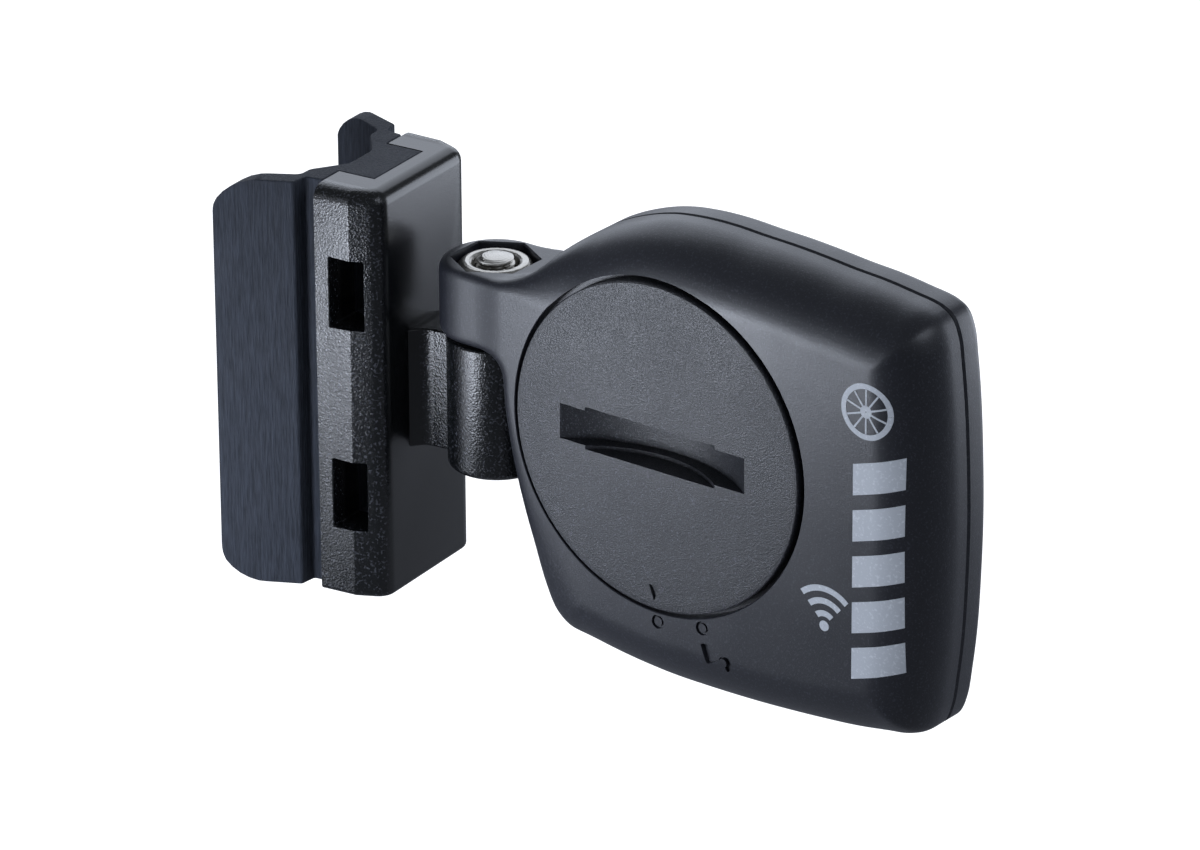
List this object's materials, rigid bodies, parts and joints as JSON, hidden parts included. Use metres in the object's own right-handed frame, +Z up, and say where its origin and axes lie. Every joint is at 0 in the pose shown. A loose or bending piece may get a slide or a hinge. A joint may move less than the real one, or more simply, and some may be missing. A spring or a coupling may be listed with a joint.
{
  "type": "wireless wheel speed sensor for a cycling computer",
  "caption": "Wheel speed sensor of a cycling computer: a coin-cell powered transmitter head that swivels on a rubber-padded bracket tied to a fork leg.",
  "frame": {"origin": "centre of the rubber pad's flat seat, where the fork leg bears on the cradle", "axes": "+X from the fork leg towards the sensor head, +Y towards the head's back (the battery cover faces -Y), +Z up along the fork leg and the hinge axis"},
  "size_m": [0.0625, 0.0192, 0.0369],
  "materials": {
    "bracket_plastic": "black moulded plastic with a fine sparkling spark-eroded grain",
    "housing_plastic": "dark charcoal satin plastic, very fine grain",
    "cover_plastic": "dark charcoal plastic, coarser grain than the housing",
    "pad_rubber": "dark blue-grey rubber with fine vertical brushing",
    "seal_rubber": "smooth black rubber",
    "zinc_steel": "bright zinc-plated steel",
    "cell_steel": "bright nickel-plated steel",
    "contact_metal": "plated spring bronze",
    "gasket_plastic": "natural polypropylene",
    "board_laminate": "green solder resist on laminate",
    "reed_glass": "clear greenish glass",
    "chip_plastic": "black moulding compound",
    "ceramic": "fired ceramic with tinned ends"
  },
  "bodies": {
    "bracket": {"bracket_body": "bracket_plastic", "rubber_pad": "pad_rubber"},
    "head": {"pivot_nut": "zinc_steel", "front_shell": "housing_plastic", "back_cover": "housing_plastic", "coin_cell_can": "cell_steel", "coin_cell_cap": "cell_steel", "coin_cell_gasket": "gasket_plastic", "battery_contact_positive": "contact_metal", "battery_contact_negative": "contact_metal", "circuit_board": "board_laminate", "board_screw_upper": "zinc_steel", "board_screw_lower": "zinc_steel", "reed_switch_glass": "reed_glass", "reed_lead_upper": "cell_steel", "reed_lead_lower": "cell_steel", "microcontroller": "chip_plastic", "radio_crystal": "cell_steel", "chip_antenna": "ceramic", "capacitor_1": "ceramic", "capacitor_2": "ceramic", "capacitor_3": "ceramic"},
    "screw": {"pivot_screw": "zinc_steel"},
    "cover": {"battery_cover": "cover_plastic", "battery_cover_seal": "seal_rubber"}
  },
  "joints": [
    {"name": "head_pivot", "type": "hinge", "parent": "bracket", "child": "head", "pos_m": [0.012, 0, 0], "axis": [0, 0, 1], "range_deg": [-94, 105]},
    {"name": "pivot_screw_turn", "type": "hinge", "parent": "bracket", "child": "screw", "pos_m": [0.012, 0, 0], "axis": [0, 0, -1], "range_deg": [0, 180]},
    {"name": "battery_cover_turn", "type": "hinge", "parent": "head", "child": "cover", "pos_m": [0.02996, -0.00632, 0.0016], "axis": [-0.0993, -0.9951, 0], "range_deg": [0, 16.9]}
  ]
}
